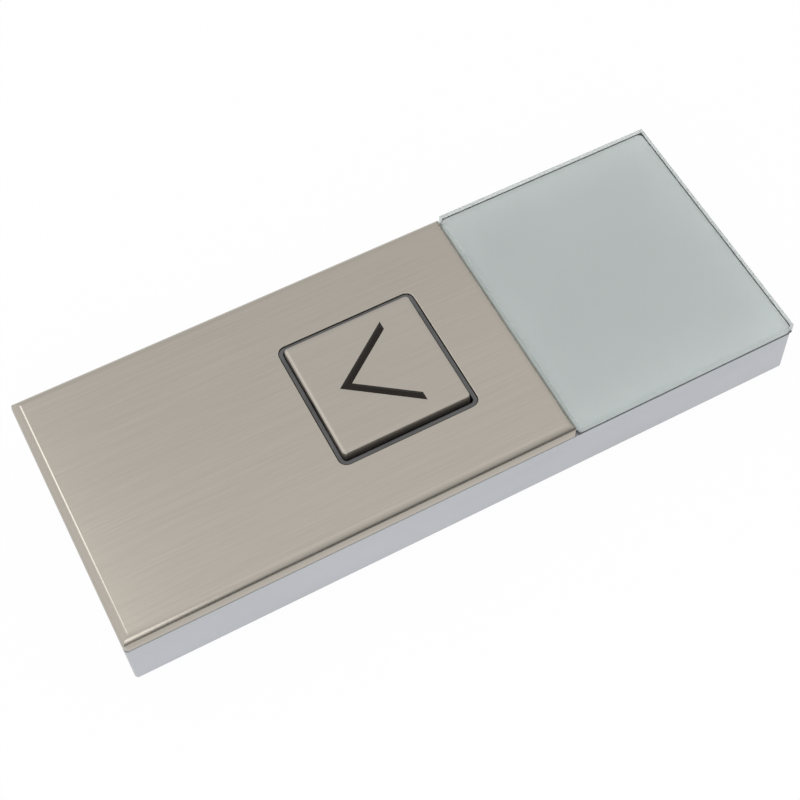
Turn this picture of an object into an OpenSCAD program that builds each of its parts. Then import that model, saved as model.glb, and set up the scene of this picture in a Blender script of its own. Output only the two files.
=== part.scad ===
// Surface-mounted landing call panel with one sprung button, lying on its back.
// Millimetres. X is the width, Y the length with the glass end at +Y, Z points away from the wall.

/* [Panel] */
// Length of the panel
panel_length = 180; // [160:1:220]
// Width of the panel
panel_width = 72; // [62:1:90]
// Height of the base rim above the wall
base_height = 14.8; // [13:0.1:18]
// Thickness of the base side walls
base_wall = 2.4; // [2:0.1:3]
// Thickness of the base floor
base_floor = 2; // [1.5:0.1:3]
// Plan radius of the base corners
base_corner = 0.9; // [0.9:0.1:2]

/* [Steel cover] */
// Length of the steel cover, from the lower end to the seam
cover_length = 117.9; // [100:0.1:140]
// Thickness of the cover sheet
cover_sheet = 1; // [0.8:0.1:1.2]
// Outer bend radius along the cover edges
cover_bend = 2.4; // [1.8:0.1:2.6]
// Shadow gap between cover and base rim
rim_gap = 0.3; // [0.2:0.05:0.6]

/* [Glass] */
// Thickness of the glass
glass_thick = 3.6; // [3:0.1:5]
// Shadow gap between glass and base rim
glass_gap = 0.5; // [0.3:0.05:0.7]
// Gap between steel cover and glass
seam_gap = 0.3; // [0.2:0.05:0.6]
// Width of the ground bevel on the glass edges
glass_bevel = 0.35; // [0.2:0.05:0.6]
// Inset of the printed back from the glass edge
print_inset = 0.2; // [0.1:0.1:0.6]

/* [Button] */
// Distance from the seam end of the cover to the button centre
button_setback = 36; // [30:0.1:45]
// Side of the square window in the cover
window = 37.4; // [34:0.1:40]
// Visible width of the light ring
ring_width = 0.75; // [0.6:0.05:1.2]
// Gap between the light ring and the cap
cap_gap = 0.5; // [0.3:0.05:0.6]
// Height of the cap above the cover
cap_proud = 1.9; // [1.5:0.1:2.5]
// Thickness of the cap sheet
cap_sheet = 0.8; // [0.6:0.1:0.9]
// Outer bend radius along the cap edges
cap_bend = 1; // [1:0.1:1.4]
// Distance from the cap sides to the chevron ends
chevron_margin = 4.45; // [3.5:0.05:6]
// Length of the chevron from its tip to its ends
chevron_height = 17.1; // [14:0.1:19]
// Width of a chevron arm across its end
chevron_arm = 2.3; // [1.6:0.1:3]
// Height of the chevron above the cap
chevron_raise = 0.6; // [0.3:0.1:1]
// Travel of the button
travel = 1.2; // [0.8:0.1:1.4]

/* [Wall fixing] */
// Distance of the wall screw holes from the panel ends
screw_inset = 15; // [12:0.5:18]
// Diameter of the wall screw holes
screw_hole = 4.5; // [4:0.1:5]
// Width of the cable opening in the floor
cable_width = 36; // [24:1:40]
// Length of the cable opening in the floor
cable_length = 20; // [14:1:24]

/* [Hidden] */
$fn = 48;

// clearances: pieces that slide or drop in, pieces that only have to stay apart, depth that fuses
// two shapes of one solid, and the length by which a cut runs past its face
slip = 0.1;
loose = 0.3;
bite = 0.3;
past = 1;

// plan of the panel
half_w = panel_width / 2;
half_l = panel_length / 2;
cover_end = cover_length - half_l;
cover_mid = cover_end - cover_length / 2;
cover_corner_inside = 0.3;
cover_corner = cover_sheet + cover_corner_inside;
glass_start = cover_end + seam_gap;
glass_length = half_l - glass_start;
glass_mid = half_l - glass_length / 2;
button_y = cover_end - button_setback;

// heights of the front stack, from the rim up and down
print_thick = 0.2;
tape_thick = 0.4;
plate_thick = 2;
skirt_z = base_height + rim_gap;
glass_z = base_height + glass_gap;
front_top = glass_z + glass_thick;
cover_under = front_top - cover_sheet;
print_z = glass_z - print_thick;
plate_top = print_z - tape_thick;
plate_z = plate_top - plate_thick;

// printed back and tape of the glass
print_corner = 1.5;
tape_from_print = 1.4;
glass_tape_inset = print_inset + tape_from_print;
glass_tape_band = 8;
glass_tape_corner = 1.2;

// base details
inner_corner = 0.8;
screw_y = half_l - screw_inset;
screw_pad_band = 4;
screw_pad = screw_hole + 2 * screw_pad_band;
screw_pad_rise = 1.2;
cable_corner = 3;
floor_rib = 1.4;
floor_rib_gap = 0.6;
notch_width = 1.6;
notch_height = 1.3;

// frame plate, the rib inside the cover skirt, and the hooks at both ends
frame_inset = cover_sheet + loose;
frame_corner = 0.9;
frame_rib = 1.2;
rib_top = front_top - cover_bend;
hook_inset = 14;
hook_x = half_w - hook_inset;
hook_width = 5;
hook_arm = 1.2;
hook_gap = 0.2;
barb_reach = 0.6;
barb_drop = 3.6;
barb_height = 1.2;
barb_z = plate_z - barb_drop;

// adhesive pads under the steel cover
pad_width = 8;
pad_length = 18;
pad_edge = 1;
pad_x = half_w - cover_bend - loose - pad_width / 2;
pad_ends = [cover_end - pad_length, button_y - window / 2 - pad_length, pad_length - half_l];

// window rim, light ring and button well
window_corner = 2.2;
window_round = 0.25;
window_band = 1.2;
ring_clear = 0.3;
ring_outer = window - 2 * ring_clear;
ring_inner = ring_outer - 2 * ring_width;
ring_corner = window_corner - ring_clear;
ring_sunk = 0.3;
ring_depth = 3.1;
ring_round = 0.2;
ring_top = front_top - ring_sunk;
ring_z = ring_top - ring_depth;
well = ring_inner + 2 * slip;
well_wall = 2.2;
well_corner = 1.4;
housing_size = well + 2 * well_wall;
housing_corner = 1.8;
housing_floor = 1.4;
housing_drop = 2.6;
housing_top = cover_under - loose;
housing_z = plate_z - housing_drop;
well_z = housing_z + housing_floor;

// ears and screws of the button housing
screw_d = 2.5;
screw_head = 5;
screw_head_height = 1.4;
recess_span = 3;
recess_slot = 0.7;
recess_depth = 0.8;
pilot = screw_d + slip;
screw_clear = 0.4;
clear_hole = screw_d + screw_clear;
ear_width = 8;
ear_length = 7;
ear_thick = 1.8;
ear_x = 13;
ear_screw = housing_size / 2 + ear_length / 2;
ear_boss = 5.5;
ear_boss_drop = 2.4;
housing_screw_length = 4.5;

// moving cap
cap_size = ring_inner - 2 * cap_gap;
cap_corner_inside = 0.2;
cap_corner = cap_sheet + cap_corner_inside;
cap_depth = 4;
cap_top = front_top + cap_proud;
cap_under = cap_top - cap_sheet;

// carrier under the cap, its guides, stop legs and spring seats
carrier_size = cap_size - 2 * cap_sheet - 2 * slip;
carrier_corner = 1.1;
carrier_step = 0.5;
carrier_plate = 2.2;
carrier_skirt = 4.2;
carrier_wall = 1.4;
carrier_rib = 1.2;
carrier_rib_depth = 1.6;
carrier_z = cap_under - carrier_plate;
carrier_low = carrier_z - carrier_skirt;
guide_width = 2.4;
guide_height = 1.8;
guide_from_corner = 5;
leg_width = 4;
leg_thick = 1.6;
leg_barb = 0.8;
leg_barb_height = 1.1;
leg_play = 0.05;
leg_x = carrier_size / 2 - carrier_wall - leg_thick;
spring_from_side = 6.6;
spring_at = carrier_size / 2 - spring_from_side;
spring_mid_r = 1.95;
spring_wire = 0.5;
spring_turns = 6;
spring_post_r = 1.3;
spring_post_height = 1.2;

// chevron outline
chevron_span = cap_size - 2 * chevron_margin;
chevron_tip = 9.9;
chevron_slope = atan(chevron_span / 2 / chevron_height);
lens_flange = 0.9;
lens_lip = 0.8;

// switch and circuit board, hung from the height of the button housing
switch_size = 12;
switch_height = 3;
switch_gap = 0.4;
switch_corner = 0.6;
switch_pin = 1.5;
switch_pin_inset = 1.6;
switch_lead = 1;
switch_lead_at = 3;
switch_lead_reach = 1.2;
switch_lead_height = 0.4;
plunger_d = 6;
plunger_room = 1.2;
plunger_hole = plunger_d + 2 * plunger_room;
plunger_bore = plunger_d + loose;
plunger_sunk = 1;
plunger_play = 0.02;
board_thick = 1.6;
board_top = housing_z - switch_gap - switch_height;
board_z = board_top - board_thick;
plunger_z = board_top + switch_height - plunger_sunk;
plunger_top = well_z - slip;
board_margin = 3.6;
board_width = panel_width - 2 * base_wall - 2 * board_margin;
board_length = 88;
board_offset = 7;
board_mid = button_y - board_offset;
board_corner = 1.5;
board_screw_edge = 4;
board_screw_x = board_width / 2 - board_screw_edge;
board_screw_y = board_length / 2 - board_screw_edge;
board_screw_length = 4;
board_boss = 6.4;
boss_inset = 12;

// indicator lights under the ring
light_from_well = 2.7;
light_at = well / 2 - light_from_well;
light_side = 7.5;
light_width = 2.8;
light_length = 3.5;
light_height = 1.9;
light_cup = 2.2;
light_cup_depth = 0.4;
light_hole = 3.6;

// parts at the lower end of the board
parts_edge = 11.4;
parts_y = board_mid - board_length / 2 + parts_edge;
chip_edge = 14;
chip_x = chip_edge - board_width / 2;
chip_size = 9;
chip_height = 1.5;
chip_lift = 0.15;
lead_count = 8;
lead_pitch = 0.9;
lead_width = 0.4;
lead_length = 1.4;
lead_sunk = 0.25;
lead_height = 0.5;
can_edge = 9;
can_x = board_width / 2 - can_edge;
can_pitch = 8;
can_base = 6.4;
can_foot = 0.8;
can_d = 5.8;
can_height = 5;
can_cut = 1.6;
sounder_d = 12;
sounder_height = 4.6;
sounder_rim = 0.8;
sounder_hole = 2.4;
sounder_depth = 1.2;

// header for the wall cable
pin_count = 5;
pin_pitch = 3.8;
pin_size = 1;
pin_short = 0.6;
connector_edge = 6;
connector_y = board_mid + board_length / 2 - connector_edge;
connector_wall = 1;
connector_floor = 1.2;
connector_width = pin_pitch * pin_count + 3 * connector_wall;
connector_length = 7;
connector_height = 5;
connector_slot = 9;

// cable opening between the board and the upper wall screw
cable_mid = (board_mid + board_length / 2 + screw_y - screw_pad / 2) / 2;

// plate with rounded corners between two heights
module slab(w, l, r, low, high) {
    translate([0, 0, low])
        linear_extrude(high - low)
            rounded(w, l, r);
}

module rounded(w, l, r) {
    square([w - 2 * r, l], center = true);
    square([w, l - 2 * r], center = true);
    for (x = [-1, 1], y = [-1, 1])
        translate([x * (w / 2 - r), y * (l / 2 - r)])
            circle(r);
}

// block centred in plan between two heights
module block(w, l, low, high) {
    translate([-w / 2, -l / 2, low])
        cube([w, l, high - low]);
}

// round pillar between two heights
module pillar(d, low, high) {
    translate([0, 0, low])
        cylinder(d = d, h = high - low);
}

// copies to both sides in X and both ways in Y
module four(x, y) {
    for (side = [-1, 1], way = [-1, 1])
        translate([side * x, way * y, 0])
            children();
}

// carries an edge section round a rounded rectangle; the section starts at the corner axis
module edge_run(w, l, r) {
    for (half = [0, 1])
        rotate(180 * half) {
            translate([w / 2 - r, l / 2 - r, 0]) {
                rotate_extrude(angle = 90)
                    children();
                rotate([90, 0, 0])
                    linear_extrude(l - 2 * r)
                        children();
            }
            translate([r - w / 2, l / 2 - r, 0]) {
                rotate(90)
                    rotate_extrude(angle = 90)
                        children();
                rotate([90, 0, 90])
                    linear_extrude(w - 2 * r)
                        children();
            }
        }
}

// block whose rounded upper edges meet in mitres above rounded upright corners
module mitred(w, l, bend, corner, low, high) {
    intersection() {
        slab(w, l, corner, low, high);
        rotate([90, 0, 0])
            linear_extrude(l + 2 * past, center = true)
                arched(w, bend, low, high);
        rotate([90, 0, 90])
            linear_extrude(w + 2 * past, center = true)
                arched(l, bend, low, high);
    }
}

// section with rounded upper corners
module arched(w, bend, low, high) {
    translate([-w / 2, low])
        square([w, high - bend - low]);
    translate([bend - w / 2, low])
        square([w - 2 * bend, high - low]);
    for (side = [-1, 1])
        translate([side * (w / 2 - bend), high - bend])
            circle(bend);
}

// strip section whose upper corners are rounded: the inner one always, the outer one if asked
module rounded_strip(w, h, r, both) {
    difference() {
        square([w, h]);
        translate([0, h - r])
            difference() {
                square(r);
                translate([r, 0])
                    circle(r);
            }
        if (both)
            translate([w - r, h - r])
                difference() {
                    square(r);
                    circle(r);
                }
    }
}

// pan-head screw standing on a seat, with a cross recess
module screw(seat, length) {
    head = seat + screw_head_height;
    pillar(screw_d, seat - length, seat);
    difference() {
        pillar(screw_head, seat, head);
        for (turn = [0, 90])
            rotate(turn)
                block(recess_span, recess_slot, head - recess_depth, head + past);
    }
}

// the chevron outline, grown by a margin all round
module chevron(grow) {
    skew = grow / sin(chevron_slope);
    tip = -chevron_tip - skew;
    inner = chevron_arm / tan(chevron_slope) - chevron_tip + skew;
    end = chevron_height - chevron_tip + grow;
    wide = (end - tip) * tan(chevron_slope);
    narrow = (end - inner) * tan(chevron_slope);
    polygon([[0, tip], [wide, end], [narrow, end], [0, inner], [-narrow, end], [-wide, end]]);
}

// silver tray that stands on the wall
module base_housing() {
    inner_w = panel_width - 2 * base_wall;
    inner_l = panel_length - 2 * base_wall;
    seat_w = panel_width - 2 * (frame_inset - slip);
    seat_l = panel_length - 2 * (frame_inset - slip);
    slot_w = hook_width + 2 * loose;
    rib_low = base_floor - bite;
    rib_high = board_z - floor_rib_gap;
    color("Silver")
        difference() {
            union() {
                difference() {
                    slab(panel_width, panel_length, base_corner, 0, base_height);
                    slab(inner_w, inner_l, inner_corner, base_floor, base_height + past);
                    slab(seat_w, seat_l, inner_corner, plate_z, base_height + past);
                }
                for (way = [-1, 1])
                    translate([0, way * screw_y, 0])
                        pillar(screw_pad, base_floor - bite, base_floor + screw_pad_rise);
                translate([0, board_mid, 0]) {
                    four(board_screw_x, board_screw_y)
                        pillar(board_boss, base_floor - bite, board_z);
                    for (side = [-1, 1]) {
                        translate([side * (board_screw_x - boss_inset / 2), 0, 0])
                            block(floor_rib, 2 * board_screw_y, rib_low, rib_high);
                        translate([0, side * (board_screw_y - boss_inset), 0])
                            block(2 * board_screw_x - boss_inset, floor_rib, rib_low, rib_high);
                    }
                }
            }
            for (way = [-1, 1])
                translate([0, way * screw_y, 0])
                    pillar(screw_hole, -past, base_floor + screw_pad_rise + past);
            translate([0, board_mid, 0])
                four(board_screw_x, board_screw_y)
                    pillar(pilot, board_top - board_screw_length - bite, board_z + past);
            translate([0, cable_mid, 0])
                slab(cable_width, cable_length, cable_corner, -past, base_floor + past);
            for (side = [-1, 1])
                translate([side * hook_x, -half_l, 0])
                    block(notch_width, 2 * frame_inset, base_height - notch_height, base_height + past);
            four(hook_x, half_l - base_wall)
                block(slot_w, 2 * (barb_reach + loose), barb_z - slip, barb_z + barb_height + slip);
        }
}

// dark moulding that carries cover, glass and button
module front_frame() {
    wide = panel_width - 2 * frame_inset;
    cover_rib = cover_length - 2 * frame_inset;
    hole = housing_size + 2 * slip;
    color([0.09, 0.09, 0.1])
        difference() {
            union() {
                slab(wide, panel_length - 2 * frame_inset, frame_corner, plate_z, plate_top);
                translate([0, cover_mid, 0])
                    difference() {
                        slab(wide, cover_rib, frame_corner, plate_top - bite, rib_top);
                        block(wide - 2 * frame_rib, cover_rib - 2 * frame_rib, plate_z, rib_top + past);
                    }
                for (side = [-1, 1], y = pad_ends)
                    translate([side * pad_x, y, 0])
                        block(pad_width, pad_length, plate_top - bite, cover_under - tape_thick);
                translate([0, button_y, 0])
                    four(ear_x, ear_screw)
                        pillar(ear_boss, plate_z - ear_boss_drop, plate_top);
                for (side = [-1, 1], end = [0, 1])
                    mirror([0, end, 0])
                        translate([side * hook_x, base_wall + hook_gap - half_l, 0])
                            frame_hook();
            }
            translate([0, button_y, 0]) {
                slab(hole, hole, housing_corner, plate_z - ear_boss_drop - past, cover_under);
                four(ear_x, ear_screw)
                    pillar(pilot, plate_z - ear_boss_drop - past, plate_top + past);
            }
        }
}

// arm that hangs from the frame plate, with a barb toward the end wall
module frame_hook() {
    translate([-hook_width / 2, 0, barb_z])
        cube([hook_width, hook_arm, barb_drop + bite]);
    translate([-hook_width / 2, -hook_gap - barb_reach, barb_z])
        cube([hook_width, hook_gap + barb_reach + bite, barb_height]);
}

// brushed sheet with bent edges and a rimmed window
module steel_cover() {
    inner_w = panel_width - 2 * cover_sheet;
    inner_l = cover_length - 2 * cover_sheet;
    inner_bend = cover_bend - cover_sheet;
    rim = window + 2 * window_band;
    rim_corner = window_corner + window_band;
    color([0.72, 0.7, 0.66]) {
        difference() {
            translate([0, cover_mid, 0])
                difference() {
                    mitred(panel_width, cover_length, cover_bend, cover_corner, skirt_z, front_top);
                    mitred(inner_w, inner_l, inner_bend, cover_corner_inside, skirt_z - past, cover_under);
                }
            translate([0, button_y, 0])
                slab(rim, rim, rim_corner, cover_under - past, front_top + past);
        }
        translate([0, button_y, 0])
            edge_run(rim, rim, rim_corner)
                translate([window_corner, cover_under])
                    rounded_strip(window_band, cover_sheet, window_round, false);
    }
}

module cover_tape() {
    tape_w = pad_width - 2 * pad_edge;
    tape_l = pad_length - 2 * pad_edge;
    color([0.15, 0.15, 0.16])
        for (side = [-1, 1], y = pad_ends)
            translate([side * pad_x, y, 0])
                block(tape_w, tape_l, cover_under - tape_thick, cover_under);
}

// clear block with ground upper edges
module glass_panel() {
    cut = glass_bevel * sqrt(2);
    color([0.75, 0.85, 0.83, 0.4])
        translate([0, glass_mid, 0])
            difference() {
                block(panel_width, glass_length, glass_z, front_top);
                for (side = [-1, 1]) {
                    translate([side * half_w, 0, front_top])
                        rotate([0, 45, 0])
                            cube([cut, glass_length + 2 * past, cut], center = true);
                    translate([0, side * glass_length / 2, front_top])
                        rotate([45, 0, 0])
                            cube([panel_width + 2 * past, cut, cut], center = true);
                }
            }
}

module glass_print() {
    wide = panel_width - 2 * print_inset;
    long = glass_length - 2 * print_inset;
    color([0.72, 0.75, 0.74])
        translate([0, glass_mid, 0])
            slab(wide, long, print_corner, print_z, glass_z);
}

module glass_tape() {
    wide = panel_width - 2 * glass_tape_inset;
    long = glass_length - 2 * glass_tape_inset;
    open_w = wide - 2 * glass_tape_band;
    open_l = long - 2 * glass_tape_band;
    color([0.12, 0.12, 0.13])
        translate([0, glass_mid, 0])
            difference() {
                slab(wide, long, glass_tape_corner, plate_top, print_z);
                block(open_w, open_l, plate_top - past, print_z + past);
            }
}

// smoky ring that fills the window round the cap
module light_ring() {
    color([0.36, 0.36, 0.36, 0.8])
        translate([0, button_y, 0])
            edge_run(ring_outer, ring_outer, ring_corner)
                translate([ring_corner - ring_width, ring_z])
                    rounded_strip(ring_width, ring_depth, ring_round, true);
}

// well that guides the button and seats the light ring
module button_housing() {
    ring_seat = ring_outer + 2 * slip;
    color([0.07, 0.07, 0.08])
        translate([0, button_y, 0])
            difference() {
                union() {
                    difference() {
                        slab(housing_size, housing_size, housing_corner, housing_z, housing_top);
                        slab(well, well, well_corner, well_z, housing_top + past);
                    }
                    four(ear_x, ear_screw - bite)
                        block(ear_width, ear_length, plate_top, plate_top + ear_thick);
                    four(spring_at, spring_at)
                        pillar(2 * spring_post_r, well_z - bite, well_z + spring_post_height);
                }
                slab(ring_seat, ring_seat, ring_corner + slip, ring_z, housing_top + past);
                pillar(plunger_hole, housing_z - past, well_z + past);
                for (side = [-1, 1])
                    translate([side * leg_x, 0, 0])
                        block(leg_thick + 2 * slip, leg_width + 2 * slip, housing_z - past, well_z + past);
                for (turn = [0:90:270], side = [-1, 1])
                    rotate(turn)
                        translate([light_at, side * light_side, 0])
                            pillar(light_hole, housing_z - past, well_z + past);
                four(ear_x, ear_screw)
                    pillar(clear_hole, plate_top - past, plate_top + ear_thick + past);
            }
}

module housing_screws() {
    color("Gainsboro")
        translate([0, button_y, 0])
            four(ear_x, ear_screw)
                screw(plate_top + ear_thick, housing_screw_length);
}

// height of a coil's wire after some turns: flat end turns, open turns between
function coil_height(t, turns, rise) =
    t < 1 ? spring_wire * t
    : t > turns - 1 ? rise - spring_wire * (turns - t)
    : spring_wire + (rise - 2 * spring_wire) * (t - 1) / (turns - 2);

module coil(turns, length) {
    steps = 14;
    sides = 6;
    count = turns * steps;
    wire_r = spring_wire / 2;
    points = [for (i = [0:count], j = [0:sides - 1])
        let (t = i / steps, a = 360 * t, b = 360 * j / sides, r = spring_mid_r + wire_r * cos(b))
        [r * cos(a), r * sin(a), wire_r + coil_height(t, turns, length - spring_wire) + wire_r * sin(b)]];
    skin = [for (i = [0:count - 1], j = [0:sides - 1])
        let (k = (j + 1) % sides)
        [i * sides + j, (i + 1) * sides + j, (i + 1) * sides + k, i * sides + k]];
    start = [for (j = [0:sides - 1]) j];
    finish = [for (j = [sides - 1:-1:0]) count * sides + j];
    polyhedron(points, concat(skin, [start, finish]), convexity = 8);
}

module return_springs() {
    color("LightGray")
        translate([0, button_y, well_z])
            four(spring_at, spring_at)
                coil(spring_turns, carrier_z - well_z);
}

module circuit_board() {
    color([0.05, 0.32, 0.17])
        translate([0, board_mid, 0])
            difference() {
                slab(board_width, board_length, board_corner, board_z, board_top);
                four(board_screw_x, board_screw_y)
                    pillar(clear_hole, board_z - past, board_top + past);
            }
}

module board_screws() {
    color("Gainsboro")
        translate([0, board_mid, 0])
            four(board_screw_x, board_screw_y)
                screw(board_top, board_screw_length);
}

module switch_body() {
    top = board_top + switch_height;
    pin_at = switch_size / 2 - switch_pin_inset;
    color([0.12, 0.12, 0.13])
        translate([0, button_y, 0]) {
            difference() {
                slab(switch_size, switch_size, switch_corner, board_top, top);
                pillar(plunger_bore, plunger_z - travel - loose, top + past);
                four(pin_at, pin_at)
                    pillar(switch_pin, top - switch_lead_height, top + past);
            }
            four((switch_size + switch_lead_reach) / 2, switch_lead_at)
                block(switch_lead_reach + 2 * slip, switch_lead, board_top, board_top + switch_lead_height);
        }
}

module switch_plunger() {
    color([0.75, 0.2, 0.15])
        translate([0, button_y, 0])
            pillar(plunger_d, plunger_z, plunger_top);
}

module indicator_lights() {
    top = board_top + light_height;
    color("Ivory")
        translate([0, button_y, 0])
            for (turn = [0:90:270], side = [-1, 1])
                rotate(turn)
                    translate([light_at, side * light_side, 0])
                        difference() {
                            block(light_width, light_length, board_top, top);
                            pillar(light_cup, top - light_cup_depth, top + past);
                        }
}

// place of a pin along the header
function pin_x(i) = (i - (pin_count - 1) / 2) * pin_pitch;

// shrouded header for the wall cable, at the glass end of the board
module field_connector() {
    top = board_top + connector_height;
    low = board_top + connector_floor;
    pocket_w = connector_width - 2 * connector_wall;
    pocket_l = connector_length - 2 * connector_wall;
    color([0.1, 0.35, 0.2])
        translate([0, connector_y, 0])
            difference() {
                block(connector_width, connector_length, board_top, top);
                block(pocket_w, pocket_l, low, top + past);
                translate([0, connector_length / 2, 0])
                    block(connector_slot, 3 * connector_wall, low + connector_floor, top + past);
                for (i = [0:pin_count - 1])
                    translate([pin_x(i), 0, 0])
                        block(pin_size, pin_size, board_top - past, top);
            }
}

module connector_pins() {
    color("Gold")
        for (i = [0:pin_count - 1])
            translate([pin_x(i), connector_y, 0])
                block(pin_size, pin_size, board_top, board_top + connector_height - pin_short);
}

module control_chip() {
    lead_x = (chip_size + lead_length) / 2 - lead_sunk;
    color([0.1, 0.1, 0.11])
        translate([chip_x, parts_y, 0]) {
            block(chip_size, chip_size, board_top + chip_lift, board_top + chip_height);
            for (turn = [0:90:270], i = [0:lead_count - 1])
                rotate(turn)
                    translate([lead_x, (i - (lead_count - 1) / 2) * lead_pitch, 0])
                        block(lead_length, lead_width, board_top, board_top + lead_height);
        }
}

module capacitors() {
    color("Silver")
        for (i = [0, 1])
            translate([can_x - can_pitch * i, parts_y, 0]) {
                difference() {
                    block(can_base, can_base, board_top, board_top + can_foot);
                    for (side = [-1, 1])
                        translate([side * can_base / 2, -can_base / 2, 0])
                            rotate(45)
                                block(can_cut, can_cut, board_top - past, board_top + can_foot + past);
                }
                pillar(can_d, board_top + can_foot - bite, board_top + can_height);
            }
}

module sounder() {
    top = board_top + sounder_height;
    color([0.13, 0.13, 0.14])
        translate([0, parts_y, 0])
            difference() {
                union() {
                    pillar(sounder_d, board_top, top);
                    pillar(sounder_d + sounder_rim, board_top, board_top + sounder_rim);
                }
                pillar(sounder_hole, top - sounder_depth, top + past);
            }
}

// square steel cap with bent edges and a chevron cut-out
module button_cap() {
    inside = cap_size - 2 * cap_sheet;
    inner_bend = cap_bend - cap_sheet;
    cap_low = cap_top - cap_depth;
    color([0.74, 0.72, 0.68])
        translate([0, button_y, 0])
            difference() {
                mitred(cap_size, cap_size, cap_bend, cap_corner, cap_low, cap_top);
                mitred(inside, inside, inner_bend, cap_corner_inside, cap_low - past, cap_under);
                translate([0, 0, cap_under - past])
                    linear_extrude(cap_sheet + 2 * past)
                        chevron(slip / 2);
            }
}

// dark raised arrow with a flange under the cap sheet
module chevron_lens() {
    color([0.16, 0.13, 0.11])
        translate([0, button_y, 0]) {
            translate([0, 0, cap_under - bite])
                linear_extrude(bite + cap_sheet + chevron_raise)
                    chevron(0);
            translate([0, 0, cap_under - lens_flange])
                linear_extrude(lens_flange)
                    chevron(lens_lip);
        }
}

// moving body under the cap
module button_carrier() {
    top_size = carrier_size - 2 * carrier_step;
    hollow = carrier_size - 2 * carrier_wall;
    guide_y = carrier_size / 2 - guide_from_corner;
    guide_reach = well / 2 - slip - carrier_size / 2;
    color([0.14, 0.14, 0.15])
        translate([0, button_y, 0]) {
            difference() {
                union() {
                    slab(carrier_size, carrier_size, carrier_corner, carrier_low, cap_under - carrier_step);
                    slab(top_size, top_size, carrier_corner, carrier_z, cap_under);
                }
                block(hollow, hollow, carrier_low - past, carrier_z);
                translate([0, 0, cap_under - lens_flange])
                    linear_extrude(lens_flange + past)
                        chevron(lens_lip + slip);
            }
            for (turn = [0:90:270], side = [-1, 1])
                rotate(turn)
                    translate([carrier_size / 2 - bite, side * guide_y - guide_width / 2, carrier_low])
                        cube([guide_reach + bite, guide_width, guide_height]);
            pillar(plunger_d, plunger_top + plunger_play, carrier_z + bite);
            for (turn = [0, 90])
                rotate(turn)
                    block(hollow + 2 * bite, carrier_rib, carrier_z - carrier_rib_depth, carrier_z + bite);
            four(spring_at, spring_at)
                pillar(2 * spring_post_r, carrier_z - spring_post_height, carrier_z + bite);
            for (side = [0, 1])
                mirror([side, 0, 0])
                    stop_leg();
        }
}

// leg that passes through the housing floor and hooks under it
module stop_leg() {
    barb_top = housing_z - leg_play;
    barb_low = barb_top - leg_barb_height;
    translate([leg_x, 0, 0]) {
        block(leg_thick, leg_width, barb_low, carrier_z + bite);
        translate([-leg_barb, 0, 0])
            block(leg_thick, leg_width, barb_low, barb_top);
    }
}

base_housing();
front_frame();
steel_cover();
cover_tape();
glass_panel();
glass_print();
glass_tape();
light_ring();
button_housing();
housing_screws();
return_springs();
circuit_board();
board_screws();
switch_body();
indicator_lights();
field_connector();
connector_pins();
control_chip();
capacitors();
sounder();
button_cap();
chevron_lens();
button_carrier();
switch_plunger();
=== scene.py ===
# Landing call panel lying on its back: brushed steel cover, glass upper part and one sprung button.
# Metres. X is the width, Y the length with the glass end at +Y, Z points away from the wall.

import math

import bmesh
import bpy
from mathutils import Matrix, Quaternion, Vector


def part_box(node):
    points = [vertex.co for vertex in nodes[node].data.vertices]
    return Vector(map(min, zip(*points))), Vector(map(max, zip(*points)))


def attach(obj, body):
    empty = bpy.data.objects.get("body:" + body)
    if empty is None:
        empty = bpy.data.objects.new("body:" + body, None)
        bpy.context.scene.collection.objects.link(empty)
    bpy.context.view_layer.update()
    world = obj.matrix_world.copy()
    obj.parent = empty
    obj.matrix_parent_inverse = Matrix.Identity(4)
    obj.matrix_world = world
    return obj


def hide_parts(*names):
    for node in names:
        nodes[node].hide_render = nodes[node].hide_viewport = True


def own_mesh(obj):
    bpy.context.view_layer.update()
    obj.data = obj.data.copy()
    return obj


MM = 0.001

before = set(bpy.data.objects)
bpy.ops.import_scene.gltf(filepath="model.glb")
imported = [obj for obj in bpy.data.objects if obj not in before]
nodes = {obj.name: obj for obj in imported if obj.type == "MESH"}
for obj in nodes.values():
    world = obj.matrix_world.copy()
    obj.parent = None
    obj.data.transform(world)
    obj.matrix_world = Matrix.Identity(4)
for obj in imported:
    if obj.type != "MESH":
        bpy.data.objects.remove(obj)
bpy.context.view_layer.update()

# camera at the photograph's viewing angle
IMAGE_SIDE = 800
FOCAL_PIXELS = 1645.2
SENSOR = 36
CAMERA_AT = Vector((0.196376, -0.090097, 0.360697))
LOOK_AT = Vector((0.012946, 0.008595, 0.0189))
ROLL = math.radians(-0.2157)
AXIS_RIGHT = 62.5
AXIS_UP = 12

eye = bpy.data.cameras.new("eye")
eye.sensor_width = SENSOR
eye.lens = FOCAL_PIXELS / IMAGE_SIDE * SENSOR
eye.shift_x = -AXIS_RIGHT / IMAGE_SIDE
eye.shift_y = -AXIS_UP / IMAGE_SIDE
eye.clip_start = 0.01
camera = bpy.data.objects.new("camera", eye)
camera.location = CAMERA_AT
camera.rotation_mode = "QUATERNION"
aim = (LOOK_AT - CAMERA_AT).to_track_quat("-Z", "Y")
camera.rotation_quaternion = aim @ Quaternion((0, 0, 1), ROLL)
scene = bpy.context.scene
scene.collection.objects.link(camera)
scene.camera = camera
scene.view_settings.view_transform = "Standard"


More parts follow.
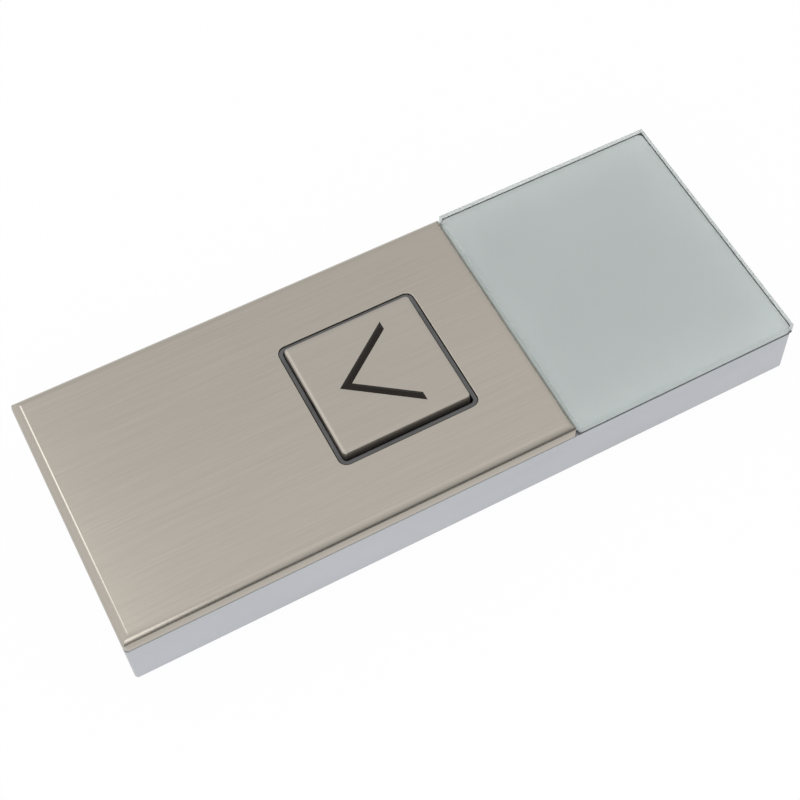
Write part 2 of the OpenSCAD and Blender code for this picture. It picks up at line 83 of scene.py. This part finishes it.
# small helpers for shader trees
class Tree:
    def __init__(self, tree):
        self.tree = tree

    def add(self, kind, settings=None, values=None):
        made = self.tree.nodes.new("ShaderNode" + kind)
        for name, value in (settings or {}).items():
            setattr(made, name, value)
        for name, value in (values or {}).items():
            made.inputs[name].default_value = value
        return made

    def join(self, source, target):
        self.tree.links.new(source, target)

    def ramp(self, factor, stops):
        made = self.add("ValToRGB")
        band = made.color_ramp
        while len(band.elements) < len(stops):
            band.elements.new(0.5)
        for element, (position, colour) in zip(band.elements, stops):
            element.position = position
            element.color = (*colour, 1)
        self.join(factor, made.inputs["Fac"])
        return made.outputs["Color"]

    def spread(self, factor, low, high):
        made = self.add("MapRange", values={"To Min": low, "To Max": high})
        self.join(factor, made.inputs["Value"])
        return made.outputs["Result"]

    def math(self, operation, first, second):
        made = self.add("Math", {"operation": operation})
        for socket, value in zip(made.inputs, (first, second)):
            if isinstance(value, (int, float)):
                socket.default_value = value
            else:
                self.join(value, socket)
        return made.outputs[0]

    # two factors added, the first by its share and the second by the rest
    def mixed(self, first, second, share):
        main = self.math("MULTIPLY", first, share)
        rest = self.math("MULTIPLY", second, 1 - share)
        return self.math("ADD", main, rest)


class Finish(Tree):
    def __init__(self, name, **values):
        self.material = bpy.data.materials.new(name)
        self.material.use_nodes = True
        super().__init__(self.material.node_tree)
        self.shader = self.tree.nodes["Principled BSDF"]
        self.place = self.add("TexCoord").outputs["Object"]
        for label, value in values.items():
            self.shader.inputs[label.replace("_", " ")].default_value = value

    # noise whose cells have the given size in millimetres along X, Y and Z
    def grain(self, cell, detail=2, roughness=0.5):
        scale = tuple(1 / (size * MM) for size in cell)
        stretch = self.add("Mapping", values={"Scale": scale})
        self.join(self.place, stretch.inputs["Vector"])
        noise = self.add("TexNoise", values={"Scale": 1, "Detail": detail, "Roughness": roughness})
        self.join(stretch.outputs["Vector"], noise.inputs["Vector"])
        return noise.outputs["Fac"]

    def colour(self, factor, stops):
        self.join(self.ramp(factor, stops), self.shader.inputs["Base Color"])

    def gloss(self, factor, low, high):
        self.join(self.spread(factor, low, high), self.shader.inputs["Roughness"])

    def relief(self, factor, depth):
        made = self.add("Bump", values={"Distance": depth * MM, "Strength": 1})
        self.join(factor, made.inputs["Height"])
        self.join(made.outputs["Normal"], self.shader.inputs["Normal"])


# floor that reads as white, keeps a faint shadow and lights the sides of the object
FLOOR_SIZE = 6
FLOOR_DROP = 0.0003
FLOOR_COLOUR = (0.9, 0.9, 0.9, 1)
WHITE = (1, 1, 1, 1)
SHADOW_SHARE = 0.05

floor_mesh = bpy.data.meshes.new("floor")
edge = FLOOR_SIZE / 2
corners = [(-edge, -edge, 0), (edge, -edge, 0), (edge, edge, 0), (-edge, edge, 0)]
floor_mesh.from_pydata(corners, [], [(0, 1, 2, 3)])
floor = bpy.data.objects.new("floor", floor_mesh)
floor.location.z = -FLOOR_DROP
scene.collection.objects.link(floor)

paper = bpy.data.materials.new("floor_paper")
paper.use_nodes = True
paper.node_tree.nodes.clear()
tree = Tree(paper.node_tree)
seen = tree.add("LightPath").outputs
plain = tree.add("BsdfDiffuse", values={"Color": FLOOR_COLOUR})
glow = tree.add("Emission", values={"Color": WHITE, "Strength": 1})
seen_at_all = tree.math("MAXIMUM", seen["Is Camera Ray"], seen["Is Glossy Ray"])
seen_at_all = tree.math("MAXIMUM", seen_at_all, seen["Is Transmission Ray"])
share = tree.math("MULTIPLY", seen_at_all, 1 - SHADOW_SHARE)
blend = tree.add("MixShader")
tree.join(share, blend.inputs["Fac"])
tree.join(plain.outputs["BSDF"], blend.inputs[1])
tree.join(glow.outputs["Emission"], blend.inputs[2])
output = tree.add("OutputMaterial")
tree.join(blend.outputs["Shader"], output.inputs["Surface"])
floor_mesh.materials.append(paper)

# soft light: a sky dimmest away from SKY_SIDE and brightest near overhead, a dim patch low at +X, two lamps
SKY_SIDE = Vector((1, -0.15, 0)).normalized()
SKY = [(0.2, 0.86), (0.222, 0.89), (0.25, 0.97), (0.275, 1.05), (0.4, 1.12), (0.55, 1.05), (0.65, 0.97)]
DIM_SIDE = Vector((0.98, 0.15, 0.09)).normalized()
DIM = [(0.42, 1), (0.64, 0.88), (0.82, 0.75), (0.927, 0.58), (0.97, 0.28), (0.99, 0.03)]

world = bpy.data.worlds.new("studio")
scene.world = world
world.use_nodes = True
world.node_tree.nodes.clear()
tree = Tree(world.node_tree)
heading = tree.add("TexCoord").outputs["Generated"]


# how far a ray points toward a side: 1 straight at it, -1 straight away
def toward(side):
    made = tree.add("VectorMath", {"operation": "DOT_PRODUCT"})
    made.inputs[1].default_value = side
    tree.join(heading, made.inputs[0])
    return made.outputs["Value"]


# ramp of grey levels
def levels_by(factor, stops):
    return tree.ramp(factor, [(position, (level, level, level)) for position, level in stops])


across = tree.add("MapRange", values={"From Min": -1})
tree.join(toward(SKY_SIDE), across.inputs["Value"])
sky = tree.add("Background")
tree.join(levels_by(across.outputs["Result"], SKY), sky.inputs["Color"])
tree.join(levels_by(toward(DIM_SIDE), DIM), sky.inputs["Strength"])
output = tree.add("OutputWorld")
tree.join(sky.outputs["Background"], output.inputs["Surface"])


# rectangular lamp in a direction from the middle of the panel
def soft_lamp(name, way, distance, wide, deep, level):
    light = bpy.data.lights.new(name, "AREA")
    light.shape = "RECTANGLE"
    light.size = wide
    light.size_y = deep
    light.energy = level * math.pi * wide * deep
    made = bpy.data.objects.new(name, light)
    made.location = Vector(way).normalized() * distance
    made.rotation_mode = "QUATERNION"
    made.rotation_quaternion = (-made.location).to_track_quat("-Z", "Y")
    scene.collection.objects.link(made)


soft_lamp("overhead", way=(-0.5, -0.24, 0.84), distance=1.2, wide=0.2, deep=0.5, level=1.9)
soft_lamp("side", way=(0.82, -0.29, 0.57), distance=0.9, wide=0.36, deep=0.68, level=1.75)


# stainless steel brushed along Y
def brushed_steel(name, dark, light, smooth, rough):
    made = Finish(name, Metallic=1, Anisotropic=0.5)
    fine = made.grain((0.12, 9, 0.12), detail=3)
    broad = made.grain((0.5, 26, 0.5), detail=2)
    cloud = made.grain((26, 60, 26), detail=1)
    lines = made.mixed(fine, broad, 0.55)
    tone = made.mixed(lines, cloud, 0.8)
    made.colour(tone, [(0.3, dark), (0.7, light)])
    made.gloss(lines, smooth, rough)
    made.relief(lines, 0.0025)
    along = made.add("Tangent", {"direction_type": "RADIAL", "axis": "Y"})
    made.join(along.outputs["Tangent"], made.shader.inputs["Tangent"])
    return made.material


# moulded plastic with a fine spark-eroded texture
def moulding(name, dark, light, rough, depth=0.01, cell=0.25):
    made = Finish(name)
    skin = made.grain((cell, cell, cell), detail=3, roughness=0.6)
    flow = made.grain((18, 30, 18), detail=2)
    tone = made.mixed(skin, flow, 0.5)
    made.colour(tone, [(0.3, dark), (0.7, light)])
    made.gloss(skin, rough - 0.06, rough + 0.06)
    made.relief(skin, depth)
    return made.material


# bare or plated metal of small parts
def plated(name, dark, light, rough):
    made = Finish(name, Metallic=1)
    skin = made.grain((0.3, 0.3, 0.6), detail=3)
    made.colour(skin, [(0.3, dark), (0.7, light)])
    made.gloss(skin, rough - 0.08, rough + 0.08)
    made.relief(skin, 0.004)
    return made.material


# silver satin paint with metal flake
def silver_paint():
    made = Finish("silver_paint", Metallic=0.55, Coat_Weight=0.12, Coat_Roughness=0.35)
    flake = made.grain((0.09, 0.09, 0.09), detail=2, roughness=0.7)
    cloud = made.grain((30, 30, 12), detail=2)
    tone = made.mixed(flake, cloud, 0.6)
    made.colour(tone, [(0.3, (0.45, 0.465, 0.495)), (0.7, (0.52, 0.535, 0.565))])
    made.gloss(flake, 0.4, 0.52)
    made.relief(flake, 0.004)
    return made.material


# float glass with a trace of handling marks: clear where it is smooth, ground where it is rough
def float_glass(name, smooth, rough):
    made = Finish(name, Transmission_Weight=1, IOR=1.52, Base_Color=(0.95, 0.985, 0.975, 1))
    marks = made.grain((9, 14, 9), detail=4, roughness=0.6)
    made.gloss(made.ramp(marks, [(0.45, (0, 0, 0)), (0.8, (1, 1, 1))]), smooth, rough)
    made.relief(made.grain((40, 25, 40), detail=0), 0.002)
    return made.material


# pale ink screened on the back of the glass
def back_print():
    made = Finish("back_print")
    screen = made.grain((0.2, 0.2, 0.2), detail=2)
    cloud = made.grain((22, 22, 22), detail=2)
    tone = made.mixed(screen, cloud, 0.5)
    made.colour(tone, [(0.3, (0.7, 0.735, 0.73)), (0.7, (0.74, 0.775, 0.77))])
    made.gloss(screen, 0.5, 0.6)
    made.relief(screen, 0.003)
    return made.material


# smoky plastic that lets light through
def smoky_plastic(name, dark, light, through, rough, shine):
    made = Finish(name, Transmission_Weight=through, IOR=1.49, Specular_IOR_Level=shine)
    skin = made.grain((0.3, 0.3, 0.3), detail=3)
    streak = made.grain((6, 6, 2), detail=2)
    tone = made.mixed(skin, streak, 0.4)
    made.colour(tone, [(0.3, dark), (0.7, light)])
    made.gloss(skin, rough - 0.05, rough + 0.05)
    made.relief(skin, 0.004)
    return made.material


# green solder mask over woven glass laminate
def solder_mask():
    made = Finish("solder_mask", Coat_Weight=0.3, Coat_Roughness=0.15)
    warp = made.grain((0.35, 6, 0.35), detail=2)
    weft = made.grain((6, 0.35, 0.35), detail=2)
    weave = made.mixed(warp, weft, 0.5)
    made.colour(weave, [(0.35, (0.012, 0.10, 0.045)), (0.65, (0.03, 0.17, 0.08))])
    made.gloss(weave, 0.3, 0.42)
    made.relief(weave, 0.006)
    return made.material


STEEL = brushed_steel(
    "brushed_cover", dark=(0.405, 0.374, 0.327), light=(0.455, 0.421, 0.369), smooth=0.18, rough=0.26
)
CAP_STEEL = brushed_steel(
    "brushed_cap", dark=(0.4, 0.37, 0.326), light=(0.45, 0.417, 0.371), smooth=0.34, rough=0.42
)
BLACK = moulding("black_moulding", (0.012, 0.012, 0.013), (0.03, 0.03, 0.032), rough=0.55)
FOAM = moulding("foam_tape", (0.012, 0.012, 0.012), (0.035, 0.035, 0.035), rough=0.85, depth=0.05, cell=0.4)
ZINC = plated("zinc_plate", (0.5, 0.5, 0.51), (0.66, 0.66, 0.67), rough=0.3)
WIRE = plated("spring_wire", (0.42, 0.42, 0.43), (0.62, 0.62, 0.63), rough=0.28)
TIN = plated("tinned_brass", (0.62, 0.45, 0.18), (0.86, 0.68, 0.34), rough=0.26)
CAN = plated("drawn_aluminium", (0.58, 0.58, 0.6), (0.76, 0.76, 0.78), rough=0.34)
GREEN = moulding("green_moulding", (0.03, 0.15, 0.065), (0.06, 0.24, 0.11), rough=0.45)
IVORY = moulding("ivory_moulding", (0.66, 0.63, 0.5), (0.82, 0.79, 0.68), rough=0.4)
RED = moulding("red_moulding", (0.38, 0.045, 0.03), (0.55, 0.09, 0.06), rough=0.4)
# painted light: the carrier and button housing are dark mouldings, given a lighter grey here to lift the
# shade in the gap round the cap
GAP_LIGHTENING_CARRIER = moulding("carrier_moulding_painted_light", (0.13, 0.13, 0.132), (0.2, 0.2, 0.203), rough=0.5)
SMOKE = smoky_plastic(
    "smoky_ring", (0.075, 0.075, 0.078), (0.13, 0.13, 0.132), through=0.12, rough=0.32, shine=0.5
)
ARROW = smoky_plastic(
    "dark_lens", (0.009, 0.0066, 0.0047), (0.016, 0.0118, 0.009), through=0.05, rough=0.3, shine=0.16
)
# dark seal under the glass edge: partly a real edge seal, partly painted shade of the gap beneath it
SEAL_AND_GAP_SHADE = moulding("dark_seal_and_painted_shade", (0.025, 0.025, 0.025), (0.045, 0.045, 0.045), rough=0.6)

FINISHES = {
    "base_housing": silver_paint(),
    "front_frame": BLACK,
    "steel_cover": STEEL,
    "cover_tape": FOAM,
    "glass_print": back_print(),
    "glass_tape": FOAM,
    "button_housing": GAP_LIGHTENING_CARRIER,
    "housing_screws": ZINC,
    "circuit_board": solder_mask(),
    "board_screws": ZINC,
    "switch_body": BLACK,
    "indicator_lights": IVORY,
    "field_connector": GREEN,
    "connector_pins": TIN,
    "control_chip": BLACK,
    "capacitors": CAN,
    "sounder": BLACK,
    "button_carrier": GAP_LIGHTENING_CARRIER,
    "switch_plunger": RED,
}
for node, finish in FINISHES.items():
    nodes[node].data.materials.clear()
    nodes[node].data.materials.append(finish)


# links a finished mesh as a piece that rides on a body and stands for a CAD node
def piece(name, work, materials, body, node):
    mesh = bpy.data.meshes.new(name)
    bmesh.ops.recalc_face_normals(work, faces=work.faces)
    work.to_mesh(mesh)
    work.free()
    for material in materials:
        mesh.materials.append(material)
    made = bpy.data.objects.new(name, mesh)
    scene.collection.objects.link(made)
    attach(made, body)
    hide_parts(node)
    return made


# side faces between two closed rows of points
def wall(first, second):
    made = []
    for i in range(len(first)):
        after = (i + 1) % len(first)
        made.append(work.faces.new((first[i], first[after], second[after], second[i])))
    return made


ROUND_STEPS = 8


# rounded upper edge from its foot to its top: pairs of how far in and how far below the top
def rounding(wide, deep, steps=ROUND_STEPS):
    pairs = []
    for step in range(steps + 1):
        lean = math.pi / 2 * step / steps
        pairs.append((wide * (1 - math.cos(lean)), deep * (1 - math.sin(lean))))
    return pairs


# closed row of points at a height: a rectangle with rounded corners
def rounded_row(centre, half_x, half_y, corner, z):
    row = []
    for quarter in range(4):
        diagonal = math.pi / 2 * (quarter + 0.5)
        x = centre.x + math.copysign(half_x - corner, math.cos(diagonal))
        y = centre.y + math.copysign(half_y - corner, math.sin(diagonal))
        for step in range(ROUND_STEPS + 1):
            turn = math.pi / 2 * (quarter + step / ROUND_STEPS)
            row.append(work.verts.new((x + corner * math.cos(turn), y + corner * math.sin(turn), z)))
    return row


# flat faces between a closed row and the closed row inside it
def plate(outer, inner):
    edges = []
    for row in (outer, inner):
        for point, after in zip(row, row[1:] + row[:1]):
            edges.append(work.edges.get((point, after)) or work.edges.new((point, after)))
    made = bmesh.ops.triangle_fill(work, use_beauty=True, edges=edges)["geom"]
    return [part for part in made if isinstance(part, bmesh.types.BMFace)]


# glass block with a polished arris round its top, bonded to the print below; its bare margin and the foot
# of its sides are dark, partly a real edge seal and partly painted shade of the gap under the glass edge
BOND = 0.02 * MM
ARRIS = 0.35 * MM
ARRIS_STEPS = 6
SEAL_AND_SHADE_RISE = 0.3 * MM
PRINT_CORNER = 1.5 * MM
GLASS_FINISHES = [
    float_glass("clear_glass", smooth=0, rough=0.035),
    SEAL_AND_GAP_SHADE,
    float_glass("ground_glass", smooth=0.72, rough=0.82),
]
SEALED_AND_SHADED = 1
GROUND = 2

low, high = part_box("glass_panel")
work = bmesh.new()


# four corners of the block at a height, drawn in from its sides
def block_row(inset, z):
    plan = [(low.x + inset, low.y + inset), (high.x - inset, low.y + inset)]
    plan += [(high.x - inset, high.y - inset), (low.x + inset, high.y - inset)]
    return [work.verts.new((x, y, z)) for x, y in plan]


print_low, print_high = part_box("glass_print")
print_half = (print_high - print_low) / 2
foot = rounded_row((print_low + print_high) / 2, print_half.x, print_half.y, PRINT_CORNER, low.z - BOND)
bottom = block_row(0, low.z - BOND)
rows = [block_row(0, low.z + SEAL_AND_SHADE_RISE)]
# painted shade: the bare margin and the lowest 0.3 mm of the sides get the dark seal, which stands partly
# for a real seal and partly for the gap's shade
for face in plate(bottom, foot) + wall(bottom, rows[0]):
    face.material_index = SEALED_AND_SHADED
for inset, drop in rounding(ARRIS, ARRIS, ARRIS_STEPS):
    rows.append(block_row(inset, high.z - drop))
for face in wall(rows[0], rows[1]):
    face.material_index = GROUND
for lower, upper in zip(rows[1:], rows[2:]):
    wall(lower, upper)
work.faces.new(foot)
work.faces.new(rows[-1])
piece("glass_block", work, GLASS_FINISHES, "panel", "glass_panel")

# return springs: four coils of round wire with closed end turns
TURNS = 6
TURN_STEPS = 40
COIL_R = 1.95 * MM
WIRE_R = 0.25 * MM
WIRE_SIDES = 14

low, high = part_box("return_springs")
cap_low, cap_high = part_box("button_cap")
middle = (cap_low + cap_high) / 2
reach = high.x - COIL_R - WIRE_R
rise = high.z - low.z - 2 * WIRE_R
pitch_flat = 2 * WIRE_R


# height of the wire's middle after so many turns: one flat turn at each end, an even climb between
def wire_height(turn):
    if turn < 1:
        return pitch_flat * turn
    if turn > TURNS - 1:
        return rise - pitch_flat * (TURNS - turn)
    return pitch_flat + (rise - 2 * pitch_flat) * (turn - 1) / (TURNS - 2)


work = bmesh.new()
for side_x in (-1, 1):
    for side_y in (-1, 1):
        centre = Vector((side_x * reach, middle.y + side_y * reach, low.z + WIRE_R))
        rings = []
        for step in range(TURNS * TURN_STEPS + 1):
            turn = step / TURN_STEPS
            around = 2 * math.pi * turn
            ring = []
            for corner in range(WIRE_SIDES):
                lean = 2 * math.pi * corner / WIRE_SIDES
                r = COIL_R + WIRE_R * math.cos(lean)
                up = wire_height(turn) + WIRE_R * math.sin(lean)
                spot = Vector((r * math.cos(around), r * math.sin(around), up))
                ring.append(work.verts.new(centre + spot))
            rings.append(ring)
        for first, second in zip(rings, rings[1:]):
            for corner in range(WIRE_SIDES):
                after = (corner + 1) % WIRE_SIDES
                work.faces.new((first[corner], second[corner], second[after], first[after])).smooth = True
        work.faces.new(rings[0])
        work.faces.new(rings[-1])
coils = piece("return_coils", work, [WIRE], "panel", "return_springs")
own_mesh(coils)

# raised chevron with a ridged crown, on the flange that holds it under the cap
TIP = 9.9 * MM
HEIGHT = 17.1 * MM
SPAN = 25.4 * MM
ARM = 2.3 * MM
FLANGE_THICK = 0.9 * MM
FLANGE_OUT = 0.8 * MM
RIDGE_WIDE = 0.85 * MM
RIDGE_DEEP = 0.55 * MM
RIDGE_BOW = 1.35
SLOPE = math.atan(SPAN / 2 / HEIGHT)

low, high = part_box("chevron_lens")
work = bmesh.new()


# outline of the chevron at a height, grown by a margin all round
def chevron(grow, z):
    skew = grow / math.sin(SLOPE)
    tip = -TIP - skew
    inner = ARM / math.tan(SLOPE) - TIP + skew
    end = HEIGHT - TIP + grow
    wide = (end - tip) * math.tan(SLOPE)
    narrow = (end - inner) * math.tan(SLOPE)
    plan = [(0, tip), (wide, end), (narrow, end), (0, inner), (-narrow, end), (-wide, end)]
    return [work.verts.new((x, middle.y + y, z)) for x, y in plan]


flange_top = low.z + FLANGE_THICK
rows = [chevron(FLANGE_OUT, low.z), chevron(FLANGE_OUT, flange_top), chevron(0, flange_top)]
for step in range(ROUND_STEPS + 1):
    climb = step / ROUND_STEPS
    rows.append(chevron(-RIDGE_WIDE * climb ** RIDGE_BOW, high.z - RIDGE_DEEP * (1 - climb)))
for lower, upper in zip(rows, rows[1:]):
    wall(lower, upper)
work.faces.new(rows[0])
work.faces.new(rows[-1])
piece("raised_chevron", work, [ARROW], "call_button", "chevron_lens")

# pressed cap with a soft shoulder, two sides that lean in and the chevron's cut-out, a little toward -Y
SHEET = 0.8 * MM
CUT_OUT_GAP = 0.05 * MM
SHOULDER_WIDE = 1.1 * MM
SHOULDER_DEEP = 0.36 * MM
LEAN_IN = 0.4 * MM
PLAY = 0.2 * MM
CAP_CORNER = 1 * MM
INNER_CORNER = 0.2 * MM

cap_half = cap_high.x
cap_under = cap_high.z - SHEET
cap_middle = middle - Vector((0, PLAY, 0))
work = bmesh.new()


# row round the cap at a height, drawn in from its sides, more on the leaning ones
def cap_row(inset, lean_in, z):
    corner = max(CAP_CORNER - inset, INNER_CORNER)
    half = cap_half - inset
    return rounded_row(cap_middle, half - lean_in, half, corner, z)


rows = [cap_row(SHEET, LEAN_IN, cap_under), cap_row(SHEET, 0, cap_low.z), cap_row(0, 0, cap_low.z)]
for inset, drop in rounding(SHOULDER_WIDE, SHOULDER_DEEP):
    rows.append(cap_row(inset, LEAN_IN, cap_high.z - drop))
for lower, upper in zip(rows, rows[1:]):
    for face in wall(lower, upper):
        face.smooth = True
cut_out = [chevron(CUT_OUT_GAP, cap_under), chevron(CUT_OUT_GAP, cap_high.z)]
wall(*cut_out)
plate(rows[0], cut_out[0])
plate(rows[-1], cut_out[1])
piece("pressed_cap", work, [CAP_STEEL], "call_button", "button_cap")

# smoky ring whose upper lip nearly fills the window round the cap
RING_WIDTH = 0.75 * MM
RING_CORNER = 1.9 * MM
LIP_DEPTH = 0.6 * MM
LIP_OUT = 0.22 * MM
LIP_IN = 0.12 * MM
LIP_ROUND = 0.2 * MM

low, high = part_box("light_ring")
ring_half = high.x
ring_inner = ring_half - RING_WIDTH
lip_low = high.z - LIP_DEPTH
work = bmesh.new()


# row round the ring at a height
def ring_row(half, z):
    return rounded_row(middle, half, half, RING_CORNER + half - ring_half, z)


lip_outer = ring_half + LIP_OUT
lip_inner = ring_inner - LIP_IN
rows = [ring_row(ring_half, low.z), ring_row(ring_half, lip_low), ring_row(lip_outer, lip_low)]
lip_edge = rounding(LIP_ROUND, LIP_ROUND)
for inset, drop in lip_edge:
    rows.append(ring_row(lip_outer - inset, high.z - drop))
for inset, drop in reversed(lip_edge):
    rows.append(ring_row(lip_inner + inset, high.z - drop))
rows += [ring_row(lip_inner, lip_low), ring_row(ring_inner, lip_low), ring_row(ring_inner, low.z)]
for lower, upper in zip(rows, rows[1:] + rows[:1]):
    wall(lower, upper)
piece("smoky_ring", work, [SMOKE], "panel", "light_ring")
